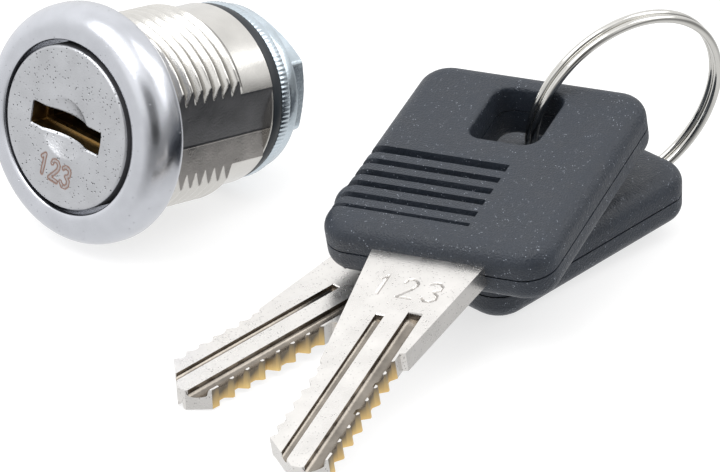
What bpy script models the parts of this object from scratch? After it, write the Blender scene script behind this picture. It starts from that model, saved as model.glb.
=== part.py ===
"""Cam lock lying on its side, with its two keys on a split ring.

Metres, +Z up.  The lock, each key and the ring are modelled in their own frames
(an empty each) and laid out on one surface at z = 0.
Lock frame: +Z is the lock's axis, pointing out of the face; z = 0 is the rim of the bore.
Key frame: +X runs from the head to the tip, +Z is up through the head, z = 0 is the middle of the blade.
Its empty stands where the ring passes through the key's hole, which the key swings about.
"""
import math

import bmesh
import bpy
from mathutils import Vector

# ---------------------------------------------------------------- driving dimensions
MM = 0.001
GAP = 0.3 * MM                     # air between faces that touch on the real object
ROUND_STEPS = 40                   # facets round a turned piece

# where the four sub-assemblies lie
LAYOUT_SHIFT = (0.27 * MM, 9.43 * MM, -0.24 * MM)     # brings the middle of the footprint to the origin
LOCK_PLACE = (-27.33 * MM, -2.18 * MM, 12.66 * MM)
LOCK_YAW = math.radians(-42.7)     # 0 faces -Y
LOCK_TILT = math.radians(10.4)     # front end up
KEY_A_PLACE = (16.24 * MM, -0.36 * MM, 12.12 * MM)
KEY_A_TURN = (math.radians(3.66), math.radians(10.65), math.radians(-114.69))
KEY_A_PIVOT = (-22.75 * MM, 0.69 * MM)
KEY_B_PLACE = (17.85 * MM, 2.48 * MM, 4.21 * MM)
KEY_B_TURN = (math.radians(-0.07), math.radians(3.49), math.radians(-134.36))
KEY_B_PIVOT = (-18.51 * MM, 0.50 * MM)
RING_PLACE = (24.93 * MM, 5.00 * MM, 11.20 * MM)
RING_TURN = (0.0, math.radians(90 - 11.61), math.radians(120.62))

# housing
THREAD_R = 9.5 * MM                # M19
THREAD_PITCH = 1.25 * MM
THREAD_DEPTH = 0.7 * MM
THREAD_CRESTS = 8
THREAD_START = -4.8 * MM
FLANGE_R = 11.5 * MM
FLANGE_BACK_R = 11.15 * MM
FLANGE_DEPTH = 4.07 * MM           # bore rim to the seat on the panel
SHOULDER_R = 9.6 * MM              # short shoulder between the seat and the thread
CROWN_R = 8.9 * MM                 # the dome is highest here
CROWN_RISE = 0.12 * MM
WIDEST_Z = -2.87 * MM
BARREL_END = -18.9 * MM
MOUTH_R = 8.2 * MM
MOUTH_DEPTH = 3.1 * MM
BORE_R = 6.5 * MM
FLAT_OFFSET = 8.0 * MM             # axis to each flat
CHANNEL_R = 7.2 * MM               # depth of the grooves that the wafers lock into

# plug and what sits on its tail
KEYWAY_TURN = math.radians(-2.6)   # slot direction from the lock frame's +X
SLOT_LENGTH = 9.0 * MM
SLOT_WIDTH = 2.2 * MM
SLOT_END = -18.1 * MM
HEAD_R = 7.88 * MM
FACE_Z = 0.15 * MM
PLUG_R = 6.35 * MM
PLUG_END = -18.9 * MM
STUD_R = 4.0 * MM
STUD_FLAT = 3.0 * MM
STUD_END = -26.9 * MM
DIMPLE_R = 2.8 * MM
DIMPLE_DEPTH = 0.6 * MM
HOLE_R = STUD_R + GAP
HOLE_FLAT = STUD_FLAT + GAP
SPACER = (8.8 * MM, 1.0 * MM)      # radius, thickness
STOP_WASHER = (8.5 * MM, 0.9 * MM)
CAM = (8.2 * MM, 1.3 * MM)
CAM_REACH = 22.0 * MM
CAM_HALF_WIDTH = 5.0 * MM
CAM_DROP = math.radians(9)         # below the lock frame's -X
LOCK_WASHER = (6.4 * MM, 0.5 * MM)
NUT_ACROSS_FLATS = 11.5 * MM
NUT_HEIGHT = 2.6 * MM

# wafers
WAFER_COUNT = 7
WAFER_FIRST_Z = -5.2 * MM
WAFER_PITCH = 1.9 * MM
WAFER_SLOT = 1.2 * MM
WAFER_THICKNESS = 0.9 * MM
WAFER_HALF_WIDTH = 2.45 * MM
WAFER_R = 6.3 * MM
WINDOW_HALF_LENGTH = 3.6 * MM
WINDOW_HALF_WIDTH = 1.3 * MM
WINDOW_SHIFTS = (0.0, 0.3, -0.3, 0.15, 0.3, -0.15, 0.0)      # bitting, in millimetres
EAR = (0.6 * MM, 1.8 * MM, 3.5 * MM)                         # low end, high end, outer side
POCKET = (-3.2 * MM, 2.7 * MM, 3.75 * MM)
SPRING_SIDE = 3.05 * MM
SPRING_R = 0.36 * MM
SPRING_WIRE_R = 0.1 * MM
SPRING_TURNS = 3.5
SPRING_POINTS = 6

# keys
BLADE_T = 2.0 * MM
HEAD_LENGTH = 27.0 * MM
HEAD_WIDTH = 23.0 * MM
HEAD_T = 5.5 * MM
HEAD_CORNER = 3.0 * MM
HEAD_ROUND = 1.0 * MM
SEAM_GAP = 0.3 * MM
KEY_HOLE = (-24.35 * MM, -16.2 * MM, -3.25 * MM, 3.9 * MM)     # x and y limits
KEY_HOLE_CORNER = 1.4 * MM
TANG_LENGTH = 14.0 * MM
TANG_HALF = 5.0 * MM
NECK_HALF = 5.5 * MM
NECK_END = 13.4 * MM
NECK_END_HALF = 3.75 * MM
BLADE_HALF = 3.2 * MM
NICK_X = 16.7 * MM
TIP_X = 30.3 * MM
CUT_FIRST = 15.3 * MM
CUT_PITCH = 1.95 * MM
LEFT_CUT_PITCH = 1.7 * MM
RIGHT_CUTS = (0.5, 0.9, 0.45, 1.0, 0.55, 0.8, 0.6)           # depths, in millimetres
LEFT_CUTS = (0.35, 0.5, 0.3, 0.45, 0.38, 0.47)
RIB_COUNT = 6
RIB_FIRST_X = -12.35 * MM
RIB_PITCH = 1.78 * MM
RIB_WIDTH = 0.7 * MM
RIB_DEPTH = 0.5 * MM
RIB_END_Y = 2.85 * MM

# split ring
RING_R = 10.25 * MM
RING_WIRE_R = 0.4 * MM
RING_PITCH = 0.95 * MM
RING_TURNS = 1.95
RING_POINTS = 28


# ---------------------------------------------------------------- helpers
def clear_scene():
    for obj in list(bpy.data.objects):
        bpy.data.objects.remove(obj, do_unlink=True)


def collection(name):
    group = bpy.data.collections.new(name)
    bpy.context.scene.collection.children.link(group)
    return group


def material(name, colour, roughness, metallic):
    mat = bpy.data.materials.new(name)
    mat.use_nodes = True
    shader = mat.node_tree.nodes["Principled BSDF"]
    shader.inputs["Base Color"].default_value = (*colour, 1.0)
    shader.inputs["Roughness"].default_value = roughness
    shader.inputs["Metallic"].default_value = metallic
    return mat


def frame(name, place, turn, parent=None):
    """An empty that carries one sub-assembly."""
    empty = bpy.data.objects.new(name, None)
    empty.empty_display_size = 5 * MM
    empty.location = place
    empty.rotation_euler = turn
    empty.parent = parent
    PARTS.objects.link(empty)
    return empty


def add(name, mesh, parent, mat, smooth=True):
    obj = bpy.data.objects.new(name, mesh)
    obj.parent = parent
    PARTS.objects.link(obj)
    mesh.materials.clear()
    mesh.materials.append(mat)
    if smooth:
        mesh.shade_smooth()
        mesh.set_sharp_from_angle(angle=math.radians(35))
    return obj


def add_cutter(name, mesh, parent):
    obj = bpy.data.objects.new(name, mesh)
    obj.parent = parent
    obj.hide_render = True
    obj.display_type = "WIRE"
    CUTTERS.objects.link(obj)
    return obj


def cut(obj, cutter, operation="DIFFERENCE"):
    mod = obj.modifiers.new(cutter.name, "BOOLEAN")
    mod.operation = operation
    mod.object = cutter
    mod.solver = "EXACT"


def box_mesh(name, low, high):
    """A box between two corners."""
    bm = bmesh.new()
    bmesh.ops.create_cube(bm, size=1.0)
    for vert in bm.verts:
        for axis in range(3):
            vert.co[axis] = high[axis] if vert.co[axis] > 0 else low[axis]
    mesh = bpy.data.meshes.new(name)
    bm.to_mesh(mesh)
    bm.free()
    return mesh


def turned(name, profile, parent, mat=None):
    """A solid of revolution about Z from (radius, z) points, outer side first, top to bottom."""
    mesh = bpy.data.meshes.new(name)
    closed = min(radius for radius, _ in profile) > 0
    count = len(profile)
    edges = [(i, i + 1) for i in range(count - 1)]
    if closed:
        edges.append((count - 1, 0))
    mesh.from_pydata([(radius, 0.0, z) for radius, z in profile], edges, [])
    obj = add(name, mesh, parent, mat) if mat else add_cutter(name, mesh, parent)
    screw = obj.modifiers.new("turn", "SCREW")
    screw.steps = ROUND_STEPS
    screw.render_steps = ROUND_STEPS
    screw.use_merge_vertices = True
    screw.merge_threshold = 0.00001
    screw.use_smooth_shade = True
    return obj


def arc(centre, radius, start, end, steps):
    """Points on an arc, angles in degrees."""
    points = []
    for i in range(steps + 1):
        angle = math.radians(start + (end - start) * i / steps)
        points.append((centre[0] + radius * math.cos(angle), centre[1] + radius * math.sin(angle)))
    return points


def rounded_rectangle(x0, x1, y0, y1, radius, steps):
    corners = ((x1, y1, 0), (x0, y1, 90), (x0, y0, 180), (x1, y0, 270))
    points = []
    for x, y, start in corners:
        centre = (x - math.copysign(radius, x - (x0 + x1) / 2), y - math.copysign(radius, y - (y0 + y1) / 2))
        points += arc(centre, radius, start, start + 90, steps)
    return points


def poly_curve(name, outlines, dimensions, closed):
    curve = bpy.data.curves.new(name, "CURVE")
    curve.dimensions = dimensions
    for outline in outlines:
        spline = curve.splines.new("POLY")
        spline.points.add(len(outline) - 1)
        for point, place in zip(spline.points, outline):
            point.co = (*place, 1.0) if len(place) == 3 else (*place, 0.0, 1.0)
        spline.use_cyclic_u = closed
    return curve


def mesh_of(curve):
    """The closed mesh of a curve, its loose caps welded."""
    holder = bpy.data.objects.new(curve.name, curve)
    bpy.context.scene.collection.objects.link(holder)
    bpy.context.view_layer.update()
    evaluated = holder.evaluated_get(bpy.context.evaluated_depsgraph_get())
    mesh = bpy.data.meshes.new_from_object(evaluated)
    bpy.data.objects.remove(holder, do_unlink=True)
    bm = bmesh.new()
    bm.from_mesh(mesh)
    bmesh.ops.remove_doubles(bm, verts=bm.verts, dist=0.00001)
    bmesh.ops.dissolve_limit(bm, angle_limit=0.001, verts=bm.verts, edges=bm.edges)
    bmesh.ops.recalc_face_normals(bm, faces=bm.faces)
    bm.to_mesh(mesh)
    bm.free()
    return mesh


def plate_mesh(name, outlines, thickness):
    """A flat plate centred on z = 0, its first outline the outside and the rest holes."""
    curve = poly_curve(name, outlines, "2D", True)
    curve.fill_mode = "BOTH"
    curve.extrude = thickness / 2
    return mesh_of(curve)


def wire_mesh(name, path, radius, bevel_resolution):
    curve = poly_curve(name, [path], "3D", False)
    curve.bevel_depth = radius
    curve.bevel_resolution = bevel_resolution
    curve.use_fill_caps = True
    return mesh_of(curve)


def shift(mesh, offset):
    for vert in mesh.vertices:
        vert.co += Vector(offset)
    return mesh


# ---------------------------------------------------------------- lock
def housing_profile():
    """Outer side from the crown down to the tail, then back up the bore."""
    points = [(MOUTH_R + 0.15 * MM, 0.0)]
    steps = 7
    for i in range(steps + 1):
        angle = math.radians(90 - 90 * i / steps)
        points.append((
            CROWN_R + (FLANGE_R - CROWN_R) * math.cos(angle),
            WIDEST_Z + (CROWN_RISE - WIDEST_Z) * math.sin(angle),
        ))
    points.append((FLANGE_BACK_R, -FLANGE_DEPTH))
    root = THREAD_R - THREAD_DEPTH
    z = THREAD_START
    points.append((SHOULDER_R, -FLANGE_DEPTH))
    points.append((SHOULDER_R, -FLANGE_DEPTH - GAP))
    points.append((root, -FLANGE_DEPTH - GAP))
    points.append((root, z))
    for _ in range(THREAD_CRESTS):
        points.append((THREAD_R, z - THREAD_PITCH / 2))
        z -= THREAD_PITCH
        points.append((root, z))
    points.append((root, BARREL_END + 0.3 * MM))
    points.append((root - 0.3 * MM, BARREL_END))
    points.append((BORE_R, BARREL_END))
    points.append((BORE_R, -MOUTH_DEPTH))
    points.append((MOUTH_R, -MOUTH_DEPTH))
    points.append((MOUTH_R, -0.15 * MM))
    return points


def make_housing(lock, plug_frame):
    housing = turned("lock_housing", housing_profile(), lock, MATS["nickel"])
    beyond = 2 * THREAD_R
    for side, label in ((1, "right"), (-1, "left")):
        low_x, high_x = sorted((side * FLAT_OFFSET, side * beyond))
        low = (low_x, -beyond, BARREL_END - 1 * MM)
        high = (high_x, beyond, -FLANGE_DEPTH - GAP)
        flat = add_cutter("flat_" + label, box_mesh("flat_" + label, low, high), plug_frame)
        cut(housing, flat)
    half = WAFER_HALF_WIDTH + 0.35 * MM
    low = (-CHANNEL_R, -half, SLOT_END)
    high = (CHANNEL_R, half, WAFER_FIRST_Z + WAFER_SLOT)
    channels = add_cutter("wafer_channels", box_mesh("wafer_channels", low, high), plug_frame)
    cut(housing, channels)


def make_plug(plug_frame):
    chamfer = 0.35 * MM
    profile = [
        (0.0, FACE_Z),
        (HEAD_R - chamfer, FACE_Z),
        (HEAD_R, FACE_Z - chamfer),
        (HEAD_R, GAP - MOUTH_DEPTH),
        (PLUG_R, GAP - MOUTH_DEPTH),
        (PLUG_R, PLUG_END),
        (STUD_R, PLUG_END),
        (STUD_R, STUD_END + 0.4 * MM),
        (STUD_R - 0.4 * MM, STUD_END),
        (0.0, STUD_END),
    ]
    plug = turned("lock_plug", profile, plug_frame, MATS["chrome"])
    for side, label in ((1, "high"), (-1, "low")):
        low_y, high_y = sorted((side * STUD_FLAT, side * 2 * STUD_R))
        low = (-2 * STUD_R, low_y, STUD_END - 1 * MM)
        high = (2 * STUD_R, high_y, PLUG_END - 0.2 * MM)
        cut(plug, add_cutter("stud_flat_" + label, box_mesh("stud_flat_" + label, low, high), plug_frame))
    sphere_r = (DIMPLE_R ** 2 + DIMPLE_DEPTH ** 2) / (2 * DIMPLE_DEPTH)
    bm = bmesh.new()
    bmesh.ops.create_uvsphere(bm, u_segments=32, v_segments=32, radius=sphere_r)
    ball = bpy.data.meshes.new("dimple")
    bm.to_mesh(ball)
    bm.free()
    dimple = add_cutter("dimple", ball, plug_frame)
    dimple.location.z = FACE_Z + sphere_r - DIMPLE_DEPTH
    cut(plug, dimple)
    low = (-SLOT_LENGTH / 2, -SLOT_WIDTH / 2, SLOT_END)
    high = (SLOT_LENGTH / 2, SLOT_WIDTH / 2, 2 * MM)
    cut(plug, add_cutter("keyway", box_mesh("keyway", low, high), plug_frame))
    for i in range(WAFER_COUNT):
        z = WAFER_FIRST_Z - i * WAFER_PITCH
        half = WAFER_HALF_WIDTH + 0.2 * MM
        slot_low = (-2 * PLUG_R, -half, z - WAFER_SLOT / 2)
        slot_high = (2 * PLUG_R, half, z + WAFER_SLOT / 2)
        name = "wafer_slot_%d" % (i + 1)
        cut(plug, add_cutter(name, box_mesh(name, slot_low, slot_high), plug_frame))
        side = wafer_side(i)
        x_limits = sorted((side * POCKET[0], side * POCKET[1]))
        y_limits = sorted((side * WAFER_HALF_WIDTH, side * POCKET[2]))
        low = (x_limits[0], y_limits[0], z - WAFER_SLOT / 2)
        high = (x_limits[1], y_limits[1], z + WAFER_SLOT / 2)
        name = "spring_pocket_%d" % (i + 1)
        cut(plug, add_cutter(name, box_mesh(name, low, high), plug_frame))


def wafer_side(index):
    """Odd wafers lock towards +X of the plug, even ones towards -X."""
    return 1 if index % 2 == 0 else -1


def wafer_outline():
    reach = math.degrees(math.asin(WAFER_HALF_WIDTH / WAFER_R))
    points = arc((0, 0), WAFER_R, -reach, reach, 5)
    points += [(EAR[1], WAFER_HALF_WIDTH), (EAR[1], EAR[2]), (EAR[0], EAR[2]), (EAR[0], WAFER_HALF_WIDTH)]
    points += arc((0, 0), WAFER_R, 180 - reach, 180 + reach, 5)
    return points


def make_wafers(plug_frame):
    for i in range(WAFER_COUNT):
        z = WAFER_FIRST_Z - i * WAFER_PITCH
        middle = WINDOW_SHIFTS[i] * MM
        window = rounded_rectangle(
            middle - WINDOW_HALF_LENGTH, middle + WINDOW_HALF_LENGTH,
            -WINDOW_HALF_WIDTH, WINDOW_HALF_WIDTH, 0.3 * MM, 1,
        )
        turn = 0.0 if wafer_side(i) > 0 else math.pi
        mesh = plate_mesh("wafer_%d" % (i + 1), [wafer_outline(), window], WAFER_THICKNESS)
        wafer = add("wafer_%d" % (i + 1), mesh, plug_frame, MATS["brass"])
        wafer.location.z = z
        wafer.rotation_euler.z = turn
        path = []
        low = POCKET[0] + GAP + SPRING_WIRE_R
        high = EAR[0] - GAP - SPRING_WIRE_R
        total = int(SPRING_TURNS * SPRING_POINTS)
        for k in range(total + 1):
            angle = 2 * math.pi * k / SPRING_POINTS
            x = low + (high - low) * k / total
            path.append((x, SPRING_SIDE + SPRING_R * math.cos(angle), SPRING_R * math.sin(angle)))
        name = "wafer_spring_%d" % (i + 1)
        spring = add(name, wire_mesh(name, path, SPRING_WIRE_R, 1), plug_frame, MATS["spring_steel"])
        spring.location.z = z
        spring.rotation_euler.z = turn


def double_d(radius, flat, steps):
    """A round hole with two flats at +-flat in y."""
    reach = math.degrees(math.asin(flat / radius))
    return arc((0, 0), radius, -reach, reach, steps) + arc((0, 0), radius, 180 - reach, 180 + reach, steps)


def circle(radius):
    return arc((0, 0), radius, 0, 360 - 360 / ROUND_STEPS, ROUND_STEPS - 1)


def cam_outline():
    """A round hub with a straight arm, which points along -X of the lock frame and slightly down."""
    base = math.degrees(math.asin(CAM_HALF_WIDTH / CAM[0]))
    corner = 3.0 * MM
    tip_x = CAM_REACH - corner
    tip_y = CAM_HALF_WIDTH - corner
    outline = arc((0, 0), CAM[0], base, 360 - base, 24)
    outline += arc((tip_x, -tip_y), corner, 270, 360, 4)
    outline += arc((tip_x, tip_y), corner, 0, 90, 4)
    turn = math.pi - KEYWAY_TURN + CAM_DROP
    turned_points = []
    for x, y in outline:
        turned_points.append((
            x * math.cos(turn) - y * math.sin(turn),
            x * math.sin(turn) + y * math.cos(turn),
        ))
    return turned_points


def make_tail(plug_frame):
    """The stack on the stud, each piece GAP below the one before."""
    hole = double_d(HOLE_R, HOLE_FLAT, 7)
    stack = (
        ("spacer_washer", circle(SPACER[0]), hole, SPACER[1], "black_plastic"),
        ("stop_washer", circle(STOP_WASHER[0]), hole, STOP_WASHER[1], "zinc"),
        ("cam", cam_outline(), hole, CAM[1], "zinc"),
        ("lock_washer", circle(LOCK_WASHER[0]), circle(HOLE_R), LOCK_WASHER[1], "spring_steel"),
        ("cam_nut", nut_outline(), circle(HOLE_R), NUT_HEIGHT, "zinc"),
    )
    top = PLUG_END - GAP
    for name, outline, opening, thickness, mat in stack:
        piece = add(name, plate_mesh(name, [outline, opening], thickness), plug_frame, MATS[mat])
        piece.location.z = top - thickness / 2
        if name == "lock_washer":
            low = (0.0, -0.35 * MM, -2 * MM)
            high = (2 * LOCK_WASHER[0], 0.35 * MM, 2 * MM)
            split = add_cutter("washer_split", box_mesh("washer_split", low, high), plug_frame)
            split.location.z = piece.location.z
            split.rotation_euler.z = math.radians(200)
            cut(piece, split)
        top -= thickness + GAP


def nut_outline():
    corner_r = NUT_ACROSS_FLATS / 2 / math.cos(math.radians(30))
    return arc((0, 0), corner_r, 15, 315, 5)


# ---------------------------------------------------------------- keys
def cut_edge(first_x, pitch, depths, half, land):
    """Points along one bitted edge: a flat-bottomed notch for each depth."""
    points = []
    for i, depth in enumerate(depths):
        middle = first_x + i * pitch
        low = half - depth * MM
        points += [
            (middle - pitch / 2 + land, half),
            (middle - 0.35 * MM, low),
            (middle + 0.35 * MM, low),
            (middle + pitch / 2 - land, half),
        ]
    return points


def blade_outline():
    right = [(0.0, NECK_HALF), (NECK_END, NECK_END_HALF), (NECK_END + 0.2 * MM, BLADE_HALF)]
    right += cut_edge(CUT_FIRST, CUT_PITCH, RIGHT_CUTS, BLADE_HALF, 0.15 * MM)
    tip = [(TIP_X - 1.6 * MM, BLADE_HALF), (TIP_X, 1.4 * MM), (TIP_X, 0.4 * MM)]
    tip += [(TIP_X - 1.1 * MM, -0.9 * MM), (TIP_X - 2.8 * MM, -2.8 * MM)]
    left = cut_edge(NICK_X + 1.2 * MM, LEFT_CUT_PITCH, LEFT_CUTS, BLADE_HALF, 0.1 * MM)
    left = [(x, -y) for x, y in reversed(left)]
    left += [(NICK_X, -BLADE_HALF + 0.1 * MM), (NICK_X - 0.3 * MM, -BLADE_HALF - 0.25 * MM)]
    left += [(0.0, -NECK_HALF)]
    tang = [(-0.01 * MM, -TANG_HALF), (-TANG_LENGTH, -TANG_HALF), (-TANG_LENGTH, TANG_HALF), (-0.01 * MM, TANG_HALF)]
    return tang + right + tip + left


def key_part(key, name, mesh, mat):
    obj = add(name, mesh, key["frame"], mat)
    obj.location = key["offset"]
    return obj


def key_cutter(key, name, mesh):
    obj = add_cutter(name, mesh, key["frame"])
    obj.location = key["offset"]
    return obj


def make_blade(label, key):
    name = "key_%s_blade" % label
    blade = key_part(key, name, plate_mesh(name, [blade_outline()], BLADE_T), MATS["key_nickel"])
    top = BLADE_T / 2
    grooves = (
        ("narrow_groove", 8.8 * MM, -1.2 * MM, -0.4 * MM, 1),
        ("wide_groove", 7.8 * MM, 1.6 * MM, 2.9 * MM, 1),
        ("back_groove", 8.8 * MM, 0.3 * MM, 1.1 * MM, -1),
    )
    for groove, start, y0, y1, side in grooves:
        z0, z1 = sorted((side * (top - 0.55 * MM), side * 2 * top))
        cutter_name = "%s_%s" % (groove, label)
        mesh = box_mesh(cutter_name, (start, y0, z0), (TIP_X + 2 * MM, y1, z1))
        cut(blade, key_cutter(key, cutter_name, mesh))


def rim_weights(mesh, z):
    """Marks the edges round the rims at height z for the bevel."""
    weights = mesh.attributes.new("bevel_weight_edge", "FLOAT", "EDGE")
    for edge in mesh.edges:
        ends = [mesh.vertices[i].co for i in edge.vertices]
        on_level = all(abs(end.z - z) < 0.00001 for end in ends)
        weights.data[edge.index].value = 1.0 if on_level else 0.0


def make_shell(label, key, side):
    """One half of a key head; side is +1 for the top shell and -1 for the bottom one."""
    name = "key_%s_head_%s" % (label, "top" if side > 0 else "bottom")
    thickness = (HEAD_T - SEAM_GAP) / 2
    middle = side * (SEAM_GAP / 2 + thickness / 2)
    outside = rounded_rectangle(-HEAD_LENGTH, 0.0, -HEAD_WIDTH / 2, HEAD_WIDTH / 2, HEAD_CORNER, 4)
    hole = rounded_rectangle(*KEY_HOLE, KEY_HOLE_CORNER, 3)
    mesh = shift(plate_mesh(name, [outside, hole], thickness), (0.0, 0.0, middle))
    rim_weights(mesh, side * HEAD_T / 2)
    shell = key_part(key, name, mesh, MATS["black_plastic"])
    bevel = shell.modifiers.new("round", "BEVEL")
    bevel.limit_method = "WEIGHT"
    bevel.width = HEAD_ROUND
    bevel.segments = 2
    bevel.use_clamp_overlap = False
    pocket_top = side * (BLADE_T / 2 + GAP)
    z0, z1 = sorted((-side * 1 * MM, pocket_top))
    cutter_name = "%s_pocket" % name
    low = (-TANG_LENGTH - GAP, -TANG_HALF - GAP, z0)
    high = (1 * MM, TANG_HALF + GAP, z1)
    cut(shell, key_cutter(key, cutter_name, box_mesh(cutter_name, low, high)))
    for i in range(RIB_COUNT):
        x = RIB_FIRST_X + i * RIB_PITCH
        z0, z1 = sorted((side * (HEAD_T / 2 - RIB_DEPTH), side * HEAD_T))
        cutter_name = "%s_groove_%d" % (name, i + 1)
        low = (x - RIB_WIDTH / 2, -HEAD_WIDTH, z0)
        high = (x + RIB_WIDTH / 2, RIB_END_Y, z1)
        cut(shell, key_cutter(key, cutter_name, box_mesh(cutter_name, low, high)))


def make_key(label, place, turn, pivot, layout):
    """Place is where the pivot stands; pivot is that point in the key's own x and y."""
    empty = frame("key_%s_frame" % label, place, turn, layout)
    key = {"frame": empty, "offset": (-pivot[0], -pivot[1], 0.0)}
    make_blade(label, key)
    make_shell(label, key, 1)
    make_shell(label, key, -1)


def make_ring(layout):
    ring_frame = frame("ring_frame", RING_PLACE, RING_TURN, layout)
    total = int(RING_TURNS * RING_POINTS)
    path = []
    for i in range(total + 1):
        angle = 2 * math.pi * i / RING_POINTS
        z = RING_PITCH * (i / RING_POINTS - RING_TURNS / 2)
        path.append((RING_R * math.cos(angle), RING_R * math.sin(angle), z))
    add("key_ring", wire_mesh("key_ring", path, RING_WIRE_R, 2), ring_frame, MATS["spring_steel"])


# ---------------------------------------------------------------- build
clear_scene()
PARTS = collection("cam_lock")
CUTTERS = collection("cutters")
MATS = {
    "nickel": material("nickel", (0.72, 0.69, 0.64), 0.25, 1.0),
    "chrome": material("satin_chrome", (0.62, 0.64, 0.68), 0.35, 1.0),
    "brass": material("brass", (0.55, 0.38, 0.16), 0.4, 1.0),
    "spring_steel": material("spring_steel", (0.70, 0.68, 0.65), 0.25, 1.0),
    "zinc": material("zinc_plate", (0.62, 0.68, 0.72), 0.35, 1.0),
    "key_nickel": material("key_nickel", (0.75, 0.73, 0.69), 0.3, 1.0),
    "black_plastic": material("black_plastic", (0.045, 0.05, 0.06), 0.55, 0.0),
}

layout = frame("layout", LAYOUT_SHIFT, (0.0, 0.0, 0.0))
lock_frame = frame("lock_frame", LOCK_PLACE, (math.pi / 2 - LOCK_TILT, 0.0, LOCK_YAW), layout)
turning_frame = frame("plug_frame", (0.0, 0.0, 0.0), (0.0, 0.0, KEYWAY_TURN), lock_frame)
make_housing(lock_frame, turning_frame)
make_plug(turning_frame)
make_wafers(turning_frame)
make_tail(turning_frame)
make_key("a", KEY_A_PLACE, KEY_A_TURN, KEY_A_PIVOT, layout)
make_key("b", KEY_B_PLACE, KEY_B_TURN, KEY_B_PIVOT, layout)
make_ring(layout)
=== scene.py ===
"""Cam lock with its two keys on a split ring, lying on a pale floor.

Lengths are in millimetres unless they are multiplied by MM. The scene is in metres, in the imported
model's frame.
"""
import math

import bmesh
import bpy
import numpy as np
from mathutils import Euler, Matrix, Vector


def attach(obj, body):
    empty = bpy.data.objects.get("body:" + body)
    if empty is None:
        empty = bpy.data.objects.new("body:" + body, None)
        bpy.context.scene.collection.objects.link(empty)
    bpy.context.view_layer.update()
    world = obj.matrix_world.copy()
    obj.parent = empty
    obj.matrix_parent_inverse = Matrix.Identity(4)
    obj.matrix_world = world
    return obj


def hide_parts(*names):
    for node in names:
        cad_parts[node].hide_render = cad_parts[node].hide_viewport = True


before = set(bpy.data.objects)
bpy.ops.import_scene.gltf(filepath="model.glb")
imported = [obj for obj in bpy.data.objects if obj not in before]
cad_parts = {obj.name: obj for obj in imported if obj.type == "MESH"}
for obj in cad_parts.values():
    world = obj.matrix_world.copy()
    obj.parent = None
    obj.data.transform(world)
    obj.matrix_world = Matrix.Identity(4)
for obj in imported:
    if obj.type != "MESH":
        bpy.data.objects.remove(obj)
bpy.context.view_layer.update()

# ---------------------------------------------------------------- driving dimensions
MM = 0.001

# where the sub-assemblies lie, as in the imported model
SHIFT = Vector((0.27, 9.43, -0.24)) * MM
LOCK_PLACE = Vector((-27.33, -2.18, 12.66)) * MM
LOCK_TURN = (math.radians(90 - 10.4), 0.0, math.radians(-42.7))
KEYWAY_TURN = math.radians(-2.6)
HEAD_ROLL = {"a": 0.0, "b": -1.2}    # each plastic head about its blade, in degrees
KEYS = {
    "a": (Vector((16.24, -0.36, 12.12)) * MM, (3.66, 10.65, -114.69), Vector((22.75, -0.69, 0)) * MM),
    "b": (Vector((17.85, 2.48, 4.21)) * MM, (-0.07, 3.49, -134.36), Vector((18.51, -0.50, 0)) * MM),
}
RING_PLACE = Vector((24.93, 5.00, 11.20)) * MM
RING_TURN = (0.0, math.radians(90 - 11.61), math.radians(120.62))

# lock, in millimetres
FLANGE_R = 11.5
FLANGE_BACK_R = 11.15
FLANGE_DEPTH = 4.07
CROWN_R = 8.95
CROWN_RISE = 0.12
WIDEST_Z = -2.6
MOUTH_R = 8.3
MOUTH_DEPTH = 3.1
BORE_R = 6.5
THREAD_R = 9.5
THREAD_DEPTH = 0.7
THREAD_PITCH = 1.25
THREAD_TOP = -4.75
THREAD_END = -15.0
BARREL_END = -19.0
LIP = (8.6, -19.17)                # bright lip round the barrel's end
FLAT_OFFSET = 8.0
PARTING = -0.55                    # height of the parting line on a flat
CHANNEL = (7.2, 2.8, -18.1, -4.6)  # reach, half width, low end, high end
FACE_Z = 0.15
PLUG_HEAD_R = 7.84
PLUG_R = 6.35
PLUG_END = -18.9
SLOT = (9.0, 2.2, 0.18)            # length, width, corner radius
SLOT_END = -18.1
SLOT_LEDGE = (-1.9, 0.18)          # depth and width of the step inside the keyway
DIMPLE = (-0.1, -0.1, 3.0, 0.85)   # centre x and y, radius, depth
STUD_R = 4.0
STUD_FLAT = 3.0
STUD_END = -26.9
STUD_THREAD = (-23.6, 0.8, 0.3)    # upper end, pitch, depth
WAFER_COUNT = 7
WAFER_FIRST_Z = -5.2
WAFER_PITCH = 1.9
WAFER_SLOT = 1.2
WAFER_SLOT_HALF = 2.65             # across the slot
POCKET = (-3.2, 2.7, 2.45, 3.75)   # spring pocket: x limits and y limits on its side
POCKET_EASE = 0.02                 # keeps a pocket clear of the slot ends it joins
TAIL_TOP = -19.2
TAIL_GAP = 0.03
SPACER = (8.62, 1.15)              # radius, thickness
STOP_WASHER = (8.62, 1.15)
TEETH = (60, 0.04)                 # number and depth on the stop washer
CAM = (8.2, 1.45)
CAM_REACH = 22.0
CAM_HALF_WIDTH = 5.0
CAM_CORNER = 3.0
CAM_TURN = math.pi - KEYWAY_TURN + math.radians(9)
LOCK_WASHER = (6.4, 0.75)
NUT = (5.75, 2.75)                 # half the width across flats, height

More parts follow.
